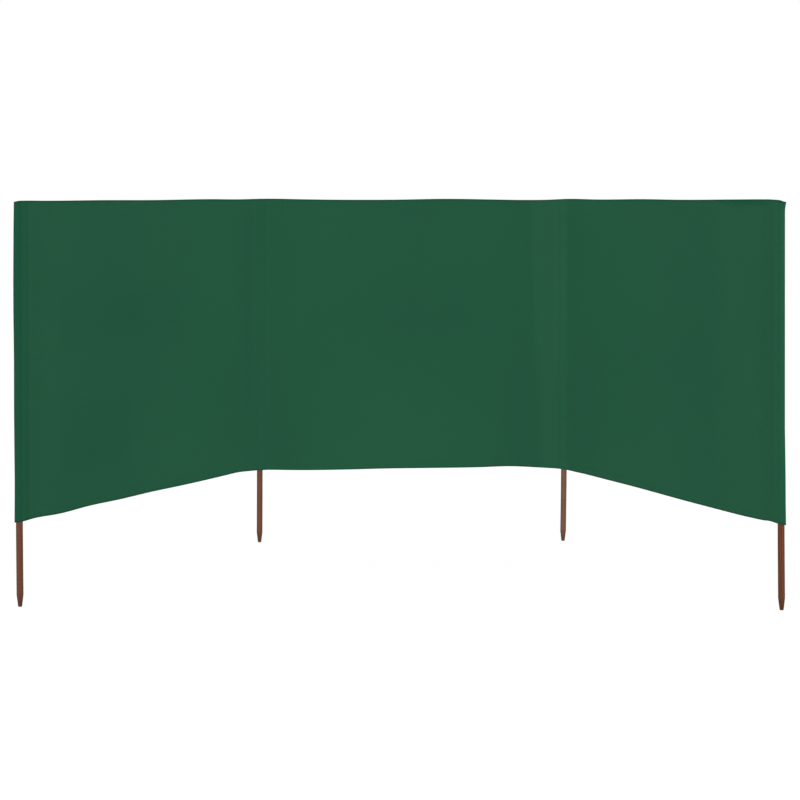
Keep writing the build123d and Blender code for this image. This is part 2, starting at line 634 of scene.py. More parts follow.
class Surface(Graph):
    """A material's nodes, put together round the standard surface shader."""

    def __init__(self, name: str) -> None:
        """Starts the material."""
        self.material = bpy.data.materials.new(name)
        self.material.use_nodes = True
        super().__init__(self.material.node_tree)
        self.shader = self.tree.nodes["Principled BSDF"]

    def place(self) -> Socket:
        """Where a point lies on its piece."""
        return self.add("ShaderNodeTexCoord")["Object"]

    def tone(self) -> Socket:
        """The tone that the mesh gives a point."""
        return self.add("ShaderNodeAttribute", attribute_name=TONE_NAME)["Fac"]

    def stretch(self, value, low: float, high: float) -> Socket:
        """Brings a value from 0 to 1 into a range."""
        return self.add("ShaderNodeMapRange", {"Value": value, "To Min": low, "To Max": high})[0]

    def noise(self, where, scale: float, detail: float = 2.0) -> Socket:
        """Soft noise from 0 to 1."""
        inputs = {"Vector": where, "Scale": scale, "Detail": detail}
        return self.add("ShaderNodeTexNoise", inputs)["Fac"]

    def mapped(self, where, scale: tuple[float, float, float]) -> Socket:
        """Coordinates stretched along their axes."""
        return self.add("ShaderNodeMapping", {"Vector": where, "Scale": scale})[0]

    def mix(self, share, first, second) -> Socket:
        """A colour between two others."""
        return self.add("ShaderNodeMix", {0: share, 6: first, 7: second}, data_type="RGBA")[2]

    def shade(self, colour, factor) -> Socket:
        """A colour made lighter or darker by a factor."""
        return self.add("ShaderNodeVectorMath", {"Vector": colour, "Scale": factor}, operation="SCALE")[0]

    def bump(self, height, reach: float, strength: float) -> Socket:
        """The normal of a surface with a fine relief."""
        return self.add("ShaderNodeBump", {"Height": height, "Distance": reach, "Strength": strength})[0]

    def finish(self, inputs: dict) -> bpy.types.Material:
        """Fills in the shader, and gives the material."""
        self.fill(self.shader, inputs)
        return self.material


def linear(red: float, green: float, blue: float) -> tuple[float, float, float, float]:
    """A picture colour from 0 to 255 as a shader colour."""
    parts = (c / 255 for c in (red, green, blue))
    flat = (c / 12.92 if c <= 0.04045 else ((c + 0.055) / 1.055) ** 2.4 for c in parts)
    return (*flat, 1.0)


@dataclass(frozen=True)
class ClothFinish:
    """Plain-woven cloth, dyed through, with a dry surface.

    Attributes:
        name: The material's name.
        colour: The dye, as a picture colour.
        faded: The dye where it has taken a little less evenly.
        pitch: Distance between two threads.
        relief: Height of the weave.
        red_shade_power: How many times faster its red part changes where the cloth is painted lighter or
            darker.
    """

    name: str
    colour: tuple[float, float, float]
    faded: tuple[float, float, float]
    pitch: float = 0.55 * MM
    relief: float = 0.07 * MM
    red_shade_power: float = 2.5

    def weave(self, g: Surface, where: Socket) -> Socket:
        """Height of the crossing threads, from 0 to 1."""
        parts = g.add("ShaderNodeSeparateXYZ", {0: where})
        counts = [g.math("DIVIDE", parts[k], self.pitch) for k in (0, 1)]
        ridges = [g.math("ABSOLUTE", g.math("SINE", g.math("MULTIPLY", c, math.pi))) for c in counts]
        cells = g.math("ADD", *(g.math("FLOOR", c) for c in counts))
        over = g.math("MODULO", g.math("ABSOLUTE", cells), 2.0)
        return g.add("ShaderNodeMix", {0: over, 2: ridges[0], 3: ridges[1]}, data_type="FLOAT")[0]

    def make(self) -> bpy.types.Material:
        """Builds the material."""
        g = Surface(self.name)
        where = g.add("ShaderNodeUVMap", uv_map=UV_NAME)[0]
        weave = self.weave(g, where)
        threads, picks = (
            g.stretch(g.noise(g.mapped(where, scale), 1400.0), -0.06, 0.06)
            for scale in ((1.0, 0.02, 1.0), (0.02, 1.0, 1.0))
        )
        uneven = g.stretch(g.noise(g.place(), 2.6, 3.0), -0.4, 1.4)
        dye = g.mix(uneven, linear(*self.colour), linear(*self.faded))
        # Random tone of the threads and picks, with painted shade in the weave's hollows, which are a
        # little darker
        relief = g.math("ADD", g.math("ADD", threads, picks), g.stretch(weave, -0.07, 0.05))
        # The tone, mostly painted shade along edges, beside folds and on doubled cloth, makes the dye
        # lighter or darker, its red part faster
        shade_factor = g.math("ADD", g.tone(), 1.0)
        shaded_red = g.math("POWER", shade_factor, self.red_shade_power)
        fade_and_shade = g.add("ShaderNodeCombineXYZ", {0: shaded_red, 1: shade_factor, 2: shade_factor})[0]
        dye = g.add("ShaderNodeVectorMath", {0: dye, 1: fade_and_shade}, operation="MULTIPLY")[0]
        return g.finish(
            {
                "Base Color": g.shade(dye, g.math("ADD", relief, 1.0)),
                "Roughness": g.stretch(weave, 0.92, 0.8),
                "Specular IOR Level": 0.06,
                "Sheen Weight": 0.02,
                "Sheen Roughness": 0.5,
                "Sheen Tint": linear(120, 200, 160),
                "Normal": g.bump(weave, self.relief, 0.6),
            }
        )


@dataclass(frozen=True)
class ThreadFinish:
    """Twisted sewing thread, a little glossier than the cloth."""

    name: str
    colour: tuple[float, float, float]

    def make(self) -> bpy.types.Material:
        """Builds the material."""
        g = Surface(self.name)
        twist = g.noise(g.place(), 1800.0)
        return g.finish(
            {
                "Base Color": g.shade(linear(*self.colour)[:3], g.stretch(twist, 0.85, 1.15)),
                "Roughness": g.stretch(twist, 0.5, 0.7),
                "Specular IOR Level": 0.2,
                "Normal": g.bump(twist, 0.05 * MM, 0.5),
            }
        )


@dataclass(frozen=True)
class WoodFinish:
    """Turned softwood with a red brown stain, more or less faded, and painted shade darkening the cut
    point.

    Attributes:
        name: The material's name.
        stain: The stain on the softer wood between the rings, as a picture colour.
        ring: The stain on the hard rings.
        faded: The colour that both fade to.
        point_shade: The colour of the painted shade on the point.
        point: How far up the point reaches.
    """

    name: str
    stain: tuple[float, float, float]
    ring: tuple[float, float, float]
    faded: tuple[float, float, float]
    point_shade: tuple[float, float, float]
    point: float = 44 * MM

    def make(self) -> bpy.types.Material:
        """Builds the material."""
        g = Surface(self.name)
        place = g.place()
        wander = g.noise(g.mapped(place, (12.0, 12.0, 1.6)), 1.0, 3.0)
        bands = g.add(
            "ShaderNodeTexWave",
            {"Vector": g.mapped(place, (1.0, 0.55, 0.05)), "Scale": 60.0, "Distortion": 9.0, "Detail": 2.0},
            wave_type="BANDS",
            bands_direction="X",
        )["Fac"]
        fibres = g.noise(g.mapped(place, (1.0, 1.0, 0.025)), 1100.0, 4.0)
        rings = g.math("ADD", g.stretch(bands, -0.1, 0.7), g.stretch(wander, -0.2, 0.35))
        rings = g.math("MINIMUM", g.math("MAXIMUM", rings, 0.0), 1.0)
        stained = g.mix(rings, linear(*self.stain), linear(*self.ring))
        grain = g.mix(g.tone(), stained, linear(*self.faded))
        height = g.add("ShaderNodeSeparateXYZ", {0: place})[2]
        limit = g.math("ADD", height, g.stretch(g.noise(place, 90.0), -12 * MM, 12 * MM))
        reach = {"From Min": 0.4 * self.point, "From Max": 1.3 * self.point, "To Min": 0.5, "To Max": 0.0}
        # Painted shade on the point, strongest near its end
        point_shade_share = g.add("ShaderNodeMapRange", {"Value": limit, **reach})[0]
        relief = g.math("ADD", fibres, g.math("MULTIPLY", bands, 0.6))
        return g.finish(
            {
                "Base Color": g.shade(g.mix(point_shade_share, grain, linear(*self.point_shade)), g.stretch(fibres, 0.78, 1.22)),
                "Roughness": g.stretch(fibres, 0.55, 0.75),
                "Specular IOR Level": 0.12,
                "Normal": g.bump(relief, 0.18 * MM, 0.7),
            }
        )


@dataclass(frozen=True)
class Finishes:
    """The finishes of the whole windbreak."""

    cloth: bpy.types.Material
    shaded_doubled: bpy.types.Material
    thread: bpy.types.Material
    wood: bpy.types.Material

    @classmethod
    def mixed(cls) -> "Finishes":
        """Makes all four materials."""
        return cls(
            ClothFinish("green_cloth", (36, 87.8, 63.1), (35, 86.8, 62.6)).make(),
            # A shaded copy of the cloth: painted shade where two layers let less light through
            ClothFinish("green_cloth_painted_shade", (35.5, 86.8, 62.6), (34.5, 85.8, 62.1)).make(),
            ThreadFinish("green_thread", (42, 96, 72)).make(),
            WoodFinish("stained_softwood", (112, 63, 40), (77, 42, 25), (114, 92, 75), (66, 43, 30)).make(),
        )


def dress(
    piece: bpy.types.Object, finish: bpy.types.Material, body: str, replaces: str | None = None
) -> bpy.types.Object:
    """Gives a piece its finish and the body that it moves with.

    Args:
        piece: The piece.
        finish: Its material.
        body: The body it rides on.
        replaces: The solid it stands for, if there is one.

    Returns:
        The same piece.
    """
    piece.data.materials.clear()
    piece.data.materials.append(finish)
    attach(piece, body)
    if replaces:
        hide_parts(replaces)
    log.info("%s: %d faces on %s", piece.name, len(piece.data.polygons), body)
    return piece


@dataclass
class SewnRows:
    """Rows of stitches, gathered for each body and laid by geometry nodes.

    Attributes:
        pitch: Distance from one stitch to the next.
        length: Length of a stitch.
        thickness: Thickness of the thread.
        rows: The rows gathered so far, by body.
    """

    pitch: float = 4.4 * MM
    length: float = 3.5 * MM
    thickness: float = 0.55 * MM
    rows: dict[str, list[Array]] = field(default_factory=dict)

    def add(self, body: str, row: Array) -> None:
        """Keeps a row of stitches for one body."""
        self.rows.setdefault(body, []).append(row)

    def tree(self) -> bpy.types.NodeTree:
        """Geometry nodes that lay a thin rounded stitch at each step along every row."""
        tree = bpy.data.node_groups.new("lay_stitches", "GeometryNodeTree")
        sockets = (("Rows", "Geometry"), ("Pitch", "Float"), ("Length", "Float"), ("Thickness", "Float"))
        for label, kind in (*sockets, ("Seed", "Int"), ("Thread", "Material")):
            tree.interface.new_socket(label, in_out="INPUT", socket_type=f"NodeSocket{kind}")
        tree.interface.new_socket("Stitches", in_out="OUTPUT", socket_type="NodeSocketGeometry")
        g = Graph(tree)
        given = g.add("NodeGroupInput")
        curves = g.add("GeometryNodeMeshToCurve", {0: given["Rows"]})[0]
        spaced = {"Curve": curves, "Length": given["Pitch"]}
        steps = g.add("GeometryNodeResampleCurve", spaced, mode="LENGTH")[0]
        tangent = g.add("GeometryNodeInputTangent")[0]
        turn = g.add("FunctionNodeAlignRotationToVector", {"Vector": tangent}, axis="X")[0]
        bead = g.add("GeometryNodeMeshIcoSphere", {"Radius": 0.5, "Subdivisions": 1})[0]
        uneven = g.add("FunctionNodeRandomValue", {2: 0.88, 3: 1.08, "Seed": given["Seed"]})[1]
        long, thick = g.math("MULTIPLY", given["Length"], uneven), given["Thickness"]
        size = g.add("ShaderNodeCombineXYZ", {0: long, 1: thick, 2: thick})[0]
        laid = {"Points": steps, "Instance": bead, "Rotation": turn, "Scale": size}
        real = g.add("GeometryNodeRealizeInstances", {0: g.add("GeometryNodeInstanceOnPoints", laid)[0]})[0]
        soft = g.add("GeometryNodeSetShadeSmooth", {0: real})[0]
        painted = g.add("GeometryNodeSetMaterial", {"Geometry": soft, "Material": given["Thread"]})[0]
        g.add("NodeGroupOutput", {0: painted})
        return tree

    def build(self, thread: bpy.types.Material) -> dict[str, bpy.types.Object]:
        """Lays all the stitches.

        Args:
            thread: The thread's material.

        Returns:
            A mesh of stitches for each body, with no body given to it yet.
        """
        tree, made = self.tree(), {}
        names = {s.name: s.identifier for s in tree.interface.items_tree if s.in_out == "INPUT"}
        for seed, (body, rows) in enumerate(sorted(self.rows.items())):
            starts = np.cumsum([0] + [len(r) for r in rows[:-1]])
            edges = [(s + k, s + k + 1) for s, r in zip(starts, rows) for k in range(len(r) - 1)]
            mesh = bpy.data.meshes.new("rows")
            mesh.from_pydata(np.concatenate(rows).tolist(), edges, [])
            guide = placed("rows", mesh)
            lay = guide.modifiers.new("lay_stitches", "NODES")
            lay.node_group = tree
            values = {"Pitch": self.pitch, "Length": self.length, "Thickness": self.thickness}
            for label, value in {**values, "Seed": seed, "Thread": thread}.items():
                lay[names[label]] = value
            graph = bpy.context.evaluated_depsgraph_get()
            laid = bpy.data.meshes.new_from_object(guide.evaluated_get(graph), depsgraph=graph)
            bpy.data.objects.remove(guide)
            made[body] = placed(f"{body}_stitches", laid)
        return made


@dataclass
class Panel:
    """One panel of cloth with its two hems and the two seams that bind its ends.

    Attributes:
        name: left, middle or right.
        ends: The names of the seams at its left and at its right end.
        run: The plane that it hangs in.
        lifts: Its stand-off at its left and at its right stake.
        phase: Where its ripples start.
        top: Knots of its top edge, in millimetres along the panel and up.
        bottom: Knots of its bottom edge.
        waves: Height, length along, length up and phase of each long wave.
        creases: Its creases.
        shades: Its patches painted lighter or darker, several of them painted light and shade.
        curl: Where its top edge leans to the sheltered side, from and to, and how far.
    """

    name: str
    ends: tuple[str, str]
    run: Run
    lifts: tuple[Lift, Lift]
    phase: float
    top: Knots
    bottom: Knots
    waves: tuple[tuple[float, float, float, float], ...]
    creases: tuple[Crease, ...] = ()
    shades: tuple[Shade, ...] = ()
    curl: tuple[float, float, float] = (0.0, 0.0, 0.0)

    def __post_init__(self) -> None:
        """Finds its body, its seams' widths and where its cloth starts and ends."""
        self.body = self.name if self.name == "middle" else f"{self.name}_wing"
        seams = [LOOSE_SEAM if end == "outer" else SNUG_SEAM for end in self.ends]
        (first, first_width), (last, last_width) = seams
        self.widths = (first_width, last_width)
        self.near, self.far = first, self.run.length - last

    def edge(self, which: Edge, u: Array) -> Array:
        """Height of the top or bottom edge at u."""
        knots = self.top if which is Edge.TOP else self.bottom
        return smooth_through(knots, np.asarray(u) / MM) * MM

    def edges(self, u: Array) -> tuple[Array, Array]:
        """Heights of the bottom and of the top edge at u."""
        return self.edge(Edge.BOTTOM, u), self.edge(Edge.TOP, u)

    def seam_ripple(self, u: Array, z: Array, end: int) -> Array:
        """Ripple that a seam's stitching leaves, for its left end, 0, or its right end, 1."""
        return SEAM_RIPPLE.at(z, u - (self.near, self.far)[end], 1.7 * end + self.phase)

    def offsets(self, u: Array, z: Array) -> Array:
        """How far the middle of the cloth stands off the panel's plane."""
        low, high = self.edges(u)
        below, above = high - z, z - low
        waves = sum(
            height * np.sin((u / along + z / up) * math.tau + phase)
            for height, along, up, phase in self.waves
        )
        creases = sum(crease.at(u, z / high) for crease in self.creases)
        free, eased = (between(u, self.near, self.far, fade) for fade in (WAVES_FADE, RIPPLES_FADE))
        n = self.lifts[0].at(u) + self.lifts[1].at(u) + free * (waves + creases)
        for away, phase in ((below, 0.4), (above, 2.9)):
            held = np.where(away < HEM_STITCH, 0.75, 1.0) * eased
            n = n + held * HEM_RIPPLE.at(u, np.maximum(away - HEM_STITCH, 0), phase + self.phase)
        n = n + self.seam_ripple(u, z, 0) + self.seam_ripple(u, z, 1)
        first, last, curl = self.curl
        n = n + curl * between(u, first, last, CURL_FADE) * bell(below, CURL_REACH)
        return n + EDGE_ROLL * bell(below, ROLL_REACH) * eased

    def surface(self, u: Array, z: Array, depth: Array) -> Array:
        """Points at a depth from the middle of the cloth, towards the sheltered side."""
        slope = self.lifts[0].slope(u) + self.lifts[1].slope(u)
        lean = np.sqrt(1 + slope**2)
        return self.run.points(u - depth * slope / lean, self.offsets(u, z) + depth / lean, z)

    def columns(self) -> Array:
        """Places of the cloth's columns, closer together near the seams."""
        first, last = self.near + NEAR_SEAM[-1], self.far - NEAR_SEAM[-1]
        middle = np.linspace(first, last, int((last - first) / COLUMN_STEP))[1:-1]
        return np.concatenate([self.near + NEAR_SEAM, middle, self.far - NEAR_SEAM[::-1]])

    def cloth(self) -> bpy.types.Object:
        """The cloth between the two seams, inside the folds of the hems."""
        u = self.columns()
        low, high = self.edges(u)
        z = rows_between(low, high)
        across = np.broadcast_to(u, z.shape)
        pulled = sum(bell(away - HEM_STITCH, 1.6 * MM) for away in (high - z, z - low))
        for row in (*self.seam_rows(0), *self.seam_rows(1)):
            pulled = pulled + bell(across - row, 1.4 * MM)
        front = self.surface(across, z, FRONT - FRONT_DENT * np.minimum(pulled, 1))
        back = self.surface(across, z, np.full(z.shape, -FRONT))
        uv = np.stack([across, z], axis=-1)
        rise = (z - low) / (high - low)
        # Painted shade along both hemmed edges, and the patches painted lighter or darker
        tone = edge_shade(z - low, high - z) + sum(shade.at(across, z, rise) for shade in self.shades)
        return ClothMesh(front, back, uv, tone).build(f"{self.name}_cloth")

    def fold_section(self, width: float, row: float) -> tuple[Array, Array]:
        """Section of cloth folded over an edge to the back.

        Args:
            width: How far the fold reaches in from the edge.
            row: Distance of its stitches from the edge.

        Returns:
            Outer and inner points, each with a distance in from the edge and a depth.
        """
        turns = np.linspace(0, math.pi, FOLD_POINTS)
        roll, hollow = (
            np.stack([FOLD_RADIUS - r * np.sin(turns), FRONT - FOLD_RADIUS + r * np.cos(turns)], 1)
            for r in (FOLD_RADIUS, FOLD_RADIUS - CLOTH)
        )
        hollow[-1, 1] = hollow[-2, 1] = BAND_INSIDE
        runs = np.array([4 * MM, 9 * MM, 14 * MM, row - 2 * MM, row, row + 2 * MM, width - CLOTH, width])
        outside = BAND_OUTSIDE + BACK_DENT * bell(runs - row, 1.2 * MM)
        outside[-1] = (BAND_OUTSIDE + BAND_INSIDE) / 2
        under = np.full(len(runs), BAND_INSIDE)
        back, face = np.stack([runs, outside], 1), np.stack([runs, under], 1)
        return np.concatenate([roll, back]), np.concatenate([hollow, face])

    def hem(self, which: Edge) -> bpy.types.Object:
        """The hem along the top or bottom edge, from seam band to seam band."""
        first, last = self.near + self.widths[0], self.far - self.widths[1]
        u = np.linspace(first, last, int((last - first) / COLUMN_STEP))[:, None]
        sections = self.fold_section(HEM_WIDTH, HEM_STITCH)
        skins = []
        for section in sections:
            z = self.edge(which, u) + which.value * section[:, 0]
            depth = np.broadcast_to(section[:, 1], z.shape)
            skins.append(self.surface(np.broadcast_to(u, z.shape), z, depth))
        outside = sections[0]
        uv = np.stack(np.broadcast_arrays(u, travelled(outside)[None, :]), axis=-1)
        name = f"{self.name}_{which.name.lower()}_fold"
        # Painted shade along the folded edge
        return ClothMesh(*skins, uv, edge_shade(outside[:, 0])).build(name)

    def seam_rows(self, end: int) -> tuple[float, float]:
        """Places of the two rows of stitches on a seam band."""
        inset, width = 3 * MM, self.widths[end]
        if end == 0:
            return self.near + inset, self.near + width - inset
        return self.far - inset, self.far - width + inset

    def seam(self, end: int) -> bpy.types.Object:
        """The seam band on the back, folded to the front over both edges."""
        width, inset = self.widths[end], 0.35 * MM
        share = np.array([0, 1.5, 3, 4.5, 7, 10, 13, 16, 18]) / 18
        across = share * (width - 2 * inset)
        across = np.concatenate([across, [width - inset, width]])
        u = self.near + across if end == 0 else self.far - across
        turns = np.linspace(0, math.pi, FOLD_POINTS)
        middle, inside = FRONT - FOLD_RADIUS, FOLD_RADIUS - CLOTH
        low, high = self.edges(u)
        rows = rows_between(low, high, NEAR_EDGE[1:])
        skins = []
        for radius, back in ((FOLD_RADIUS, BAND_OUTSIDE), (inside, BAND_INSIDE)):
            roll = FOLD_RADIUS - radius * np.sin(turns)[:, None]
            depth = np.broadcast_to((middle + radius * np.cos(turns))[:, None], (FOLD_POINTS, len(u)))
            z = np.concatenate([low + roll, rows, high - roll[::-1]])
            depths = np.concatenate([depth, np.full(rows.shape, back), depth[::-1]])
            if back == BAND_OUTSIDE:
                rim = np.array([0.0] * len(share) + [0.22, 0.62]) * (BAND_INSIDE - BAND_OUTSIDE)
                behind = depths < middle
                depths = np.where(behind, np.minimum(depths + rim, BAND_INSIDE), depths)
                pulled = sum(bell(u - row, 1.3 * MM) for row in self.seam_rows(end))
                depths = np.where(behind, depths + BACK_DENT * pulled, depths)
            skins.append(self.surface(np.broadcast_to(u, z.shape), z, depths))
        uv = np.stack(np.broadcast_arrays(u[None, :], travelled(skins[0][:, 0])[:, None]), axis=-1)
        # Painted shade along both hemmed edges
        tone = edge_shade(z - low, high - z)
        return ClothMesh(*skins, uv, tone).build(f"{self.name}_{('near', 'far')[end]}_band")

    def stitch(self, rows: SewnRows) -> None:
        """Sews the hems and both seam bands, on the front and on the back."""
        lift, short, points = 0.12 * MM, 2 * MM, 220
        u = np.linspace(self.near + self.widths[0] + short, self.far - self.widths[1] - short, points)
        for depth in (FRONT - lift, BAND_OUTSIDE + 2 * lift):
            for which in Edge:
                z = self.edge(which, u) + which.value * HEM_STITCH
                rows.add(self.body, self.surface(u, z, np.full(u.shape, depth)))
            for end in (0, 1):
                for place in self.seam_rows(end):
                    low, high = (float(z) for z in self.edges(place))
                    z = np.linspace(low + 3 * MM, high - 3 * MM, 200)
                    rows.add(self.body, self.surface(np.full(z.shape, place), z, np.full(z.shape, depth)))

    def build(self, finishes: Finishes, rows: SewnRows) -> None:
        """Builds and dresses the cloth, its hems and its seam bands."""
        cloth = dress(self.cloth(), finishes.cloth, self.body, f"{self.name}_panel")
        for which in Edge:
            node = f"{self.name}_{which.name.lower()}_hem"
            dress(self.hem(which), finishes.cloth, self.body, node)
        for end in (0, 1):
            node = f"{self.name}_{self.ends[end]}_seam"
            # The seam bands wear the shaded copy of the cloth, painted shade of the doubled layers
            dress(self.seam(end), finishes.shaded_doubled, self.body, node)
        self.stitch(rows)


@dataclass
class Sleeve:
    """A cloth sleeve over a stake, open below and sewn shut above.

    Attributes:
        post: The stake that it covers.
        front: Plan points of its front layer about the stake's axis, from left to right.
        back: Plan points of its back layer, from right to left.
        tops: Height of its top edge at each point of the front layer.
        bottoms: Height of its bottom edge at each point of the front layer.
        held: The panel and which of its seams holds the left and the right end, or None.
        sway: Heights in millimetres, with how far the loose fold reaches out or in there.
        outward: Plan direction of the loose fold.
        tone: How much lighter it is painted, as a share, all over or at each point round it; this is
            painted shade of the doubled cloth.
        lean: How far it leans in with its stake for each metre up.
        crown: How far the cloth rises over the stake's head.
        closing: How far it rises where nothing is in it.
        loose: Distance from the axis beyond which the fold hangs free.
    """

    post: Post
    front: Array
    back: Array
    tops: Array
    bottoms: Array
    held: tuple[tuple[Panel, int] | None, tuple[Panel, int] | None]
    sway: Knots = ((0, 0), (1, 0))
    outward: Array = field(default_factory=lambda: np.zeros(2))
    tone: Array | float = 0.0
    lean: float = 0.0
    crown: float = 5 * MM
    closing: float = 1.0 * MM
    loose: float = 12 * MM

    def flat(self) -> tuple[float, float]:
        """The size it was cut to, its girth by its height."""
        girth = sum(travelled(way)[-1] for way in (self.front, self.back))
        return float(girth), float((self.tops - self.bottoms).mean())

    def normals(self) -> Array:
        """Plan directions out of the sleeve, all the way round."""
        ways = [np.gradient(layer, axis=0) for layer in (self.front, self.back)]
        way = np.concatenate([w / np.linalg.norm(w, axis=1)[:, None] for w in ways])
        return np.stack([way[:, 1], -way[:, 0]], axis=1)

    def skins(self) -> tuple[Array, Array]:
        """Plan of the outer and of the inner skin, all the way round."""
        middle, normals = np.concatenate([self.front, self.back]), self.normals()
        count = len(self.front)
        inner = middle - FRONT * normals
        for end, columns in zip(self.held, (((0, 1), (-1, -1)), ((count - 1, -1), (count, 1)))):
            for column, step in columns if end else ():
                way = middle[column + step] - middle[column]
                inner[column] += CLOTH * way / np.linalg.norm(way)
        return middle + FRONT * normals, inner

    def ripples(self, z: Array) -> Array:
        """Ripples that the seams' stitching leaves near both ends, by row and column."""
        moved = np.zeros(z.shape)
        girth = [np.linalg.norm(way - way[k], axis=1) for way in (self.front, self.back) for k in (0, -1)]
        away = (np.concatenate([girth[0], girth[3]]), np.concatenate([girth[1], girth[2]]))
        for held, distance in zip(self.held, away):
            if held:
                panel, end = held
                seam = (panel.near, panel.far)[end]
                moved += panel.seam_ripple(np.full(z.shape, seam), z, end) * bell(distance, 9 * MM)
        return moved

    def mesh(self) -> ClothMesh:
        """Its rows from the open end up, and a low crown over the stake's head."""
        count = len(self.front)
        low = np.concatenate([self.bottoms, self.bottoms[::-1]])
        high = np.concatenate([self.tops, self.tops[::-1]])
        half = np.linalg.norm(self.front - self.back[::-1], axis=1) / 2
        full = 13 * MM
        rise = self.closing + self.crown * np.minimum(half / full, 1)
        rise = np.concatenate([rise, rise[::-1]])
        hem_bulge = (-0.25 * MM, 0.2 * MM)
        z = rows_between(low, high - rise, np.concatenate([[0, 0.5 * MM], NEAR_EDGE[1:]]))
        turns = np.linspace(0, math.pi / 2, FOLD_POINTS)[1:, None]
        normals = self.normals()
        sign = np.where(np.arange(2 * count) < count, 1, -1)
        grids = []
        for skin, inset, hemmed in zip(self.skins(), (0.0, CLOTH), hem_bulge):
            moved = (self.ripples(z) * sign)[..., None] * normals
            moved[0] += hemmed * normals
            plan = skin + moved
            middle, last = (skin + skin[::-1]) / 2, plan[-1]
            share = np.maximum(np.cos(turns), 0.02)[..., None] ** 0.8
            crown = middle + (last - middle) * share
            tip = high - rise + (rise - inset) * np.sin(turns)
            plan, heights = np.concatenate([plan, crown]), np.concatenate([z, tip])
            beyond = np.maximum(skin @ self.outward - self.loose, 0)
            swing = smooth_through(self.sway, heights / MM) * MM * beyond / (beyond.max() + CLOTH)
            plan = plan + (swing - self.lean * heights)[..., None] * self.outward
            grids.append(np.concatenate([self.post.plan + plan, heights[..., None]], axis=-1))
        heights = grids[0][..., 2]
        uv = np.stack(np.broadcast_arrays(travelled(self.skins()[0])[None, :], heights), axis=-1)
        blunt = tuple(c for c, held in zip((2 * count - 1, count - 1), self.held) if held)
        # Painted shade of the doubled cloth, and painted shade along both hemmed edges
        tone = self.tone + edge_shade(heights - low, high - heights)
        return ClothMesh(*grids, uv, tone, round_it=True, sewn_top=True, blunt=blunt)


@dataclass(frozen=True)
class Stake:
    """A round wooden stake with a turned point.

    Attributes:
        post: Which stake it is.
        body: The body that it rides on.
        head: Height of its head, inside the sleeve.
        lean: Plan distance by which it leans for each metre up.
        fade_and_shade: How far its stain has faded, from 0 to 1.
        foot: How far its foot bends towards +X.
        bare: Height of the cloth over it, where the bend starts.
        point: Length of the point.
        end_radius: Radius of the point's flat end.
        oval: How far it is out of round, as a share, with two lobes.
        lobes: The same with three lobes, which turn as they go up.
        bow: How far it bows between its ends.
        sides: Number of sides round it.
    """

    post: Post
    body: str
    head: float
    lean: Array
    fade_and_shade: float
    foot: float
    bare: float = 310 * MM
    point: float = 44 * MM
    end_radius: float = 7.25 * MM
    oval: float = 0.004
    lobes: float = 0.0025
    bow: float = 0.5 * MM
    sides: int = 56

    def profile(self) -> Array:
        """Radius and height from the middle of the point's end to the middle of the head."""
        radius, edge = self.post.radius, 1.5 * MM
        rounding = [
            (self.end_radius - edge * (1 - math.sin(t)), edge * (1 - math.cos(t)))
            for t in np.linspace(0, 1.25, 6)
        ]
        cone = [
            (self.end_radius + (radius - self.end_radius) * s, self.point * s)
            for s in (0.1, 0.25, 0.5, 0.75, 0.93)
        ]
        shoulder = [(radius - 0.08 * MM, self.point * 0.995), (radius, self.point * 1.03)]
        shaft = [(radius, z) for z in np.linspace(self.point + 8 * MM, self.head - 4 * MM, 42)]
        head = [(radius, self.head - 2 * MM), (radius - 0.6 * MM, self.head - 0.6 * MM)]
        return np.array([*rounding, *cone, *shoulder, *shaft, *head, (radius - 2 * MM, self.head)])

    def build(self, finishes: Finishes) -> None:
        """Builds the stake and dresses it in wood."""
        profile = self.profile()
        turns = np.arange(self.sides) / self.sides * math.tau
        phase = 1.9 * list(Post).index(self.post)
        radius, z = profile[:, :1], profile[:, 1:]
        oval = 1 + self.oval * np.sin(2 * turns + phase)
        oval = oval + self.lobes * np.sin(3 * turns - 2 * phase + z * 9)
        bow = self.bow * np.sin(z / self.head * math.pi)
        x = radius * oval * np.cos(turns) + bow * math.cos(phase)
        y = radius * oval * np.sin(turns) + bow * math.sin(phase)
        place, top = self.post.plan, self.post.plan + self.head * self.lean
        sharpness = 1.3
        bend = self.foot * np.maximum(1 - z / self.bare, 0) ** sharpness
        x, y = x + place[0] + z * self.lean[0] + bend, y + place[1] + z * self.lean[1]
        rings = np.stack([x, y, np.broadcast_to(z, x.shape)], axis=-1)
        ends = [[place[0] + self.foot, place[1], 0.0], [*top, self.head]]
        points = np.concatenate([rings.reshape(-1, 3), ends])
        grid = np.arange(rings.shape[0] * self.sides).reshape(-1, self.sides)
        after = np.roll(grid, -1, axis=1)
        walls = np.stack([grid[:-1], after[:-1], after[1:], grid[1:]], axis=-1).reshape(-1, 4).tolist()
        foot, crown = len(points) - 2, len(points) - 1
        walls += [[foot, int(b), int(a)] for a, b in zip(grid[0], after[0])]
        walls += [[crown, int(a), int(b)] for a, b in zip(grid[-1], after[-1])]
        piece = make_object(f"{self.post.value}_post", points, walls, np.full(len(points), self.fade_and_shade))
        dress(piece, finishes.wood, self.body, f"{self.post.value}_stake")


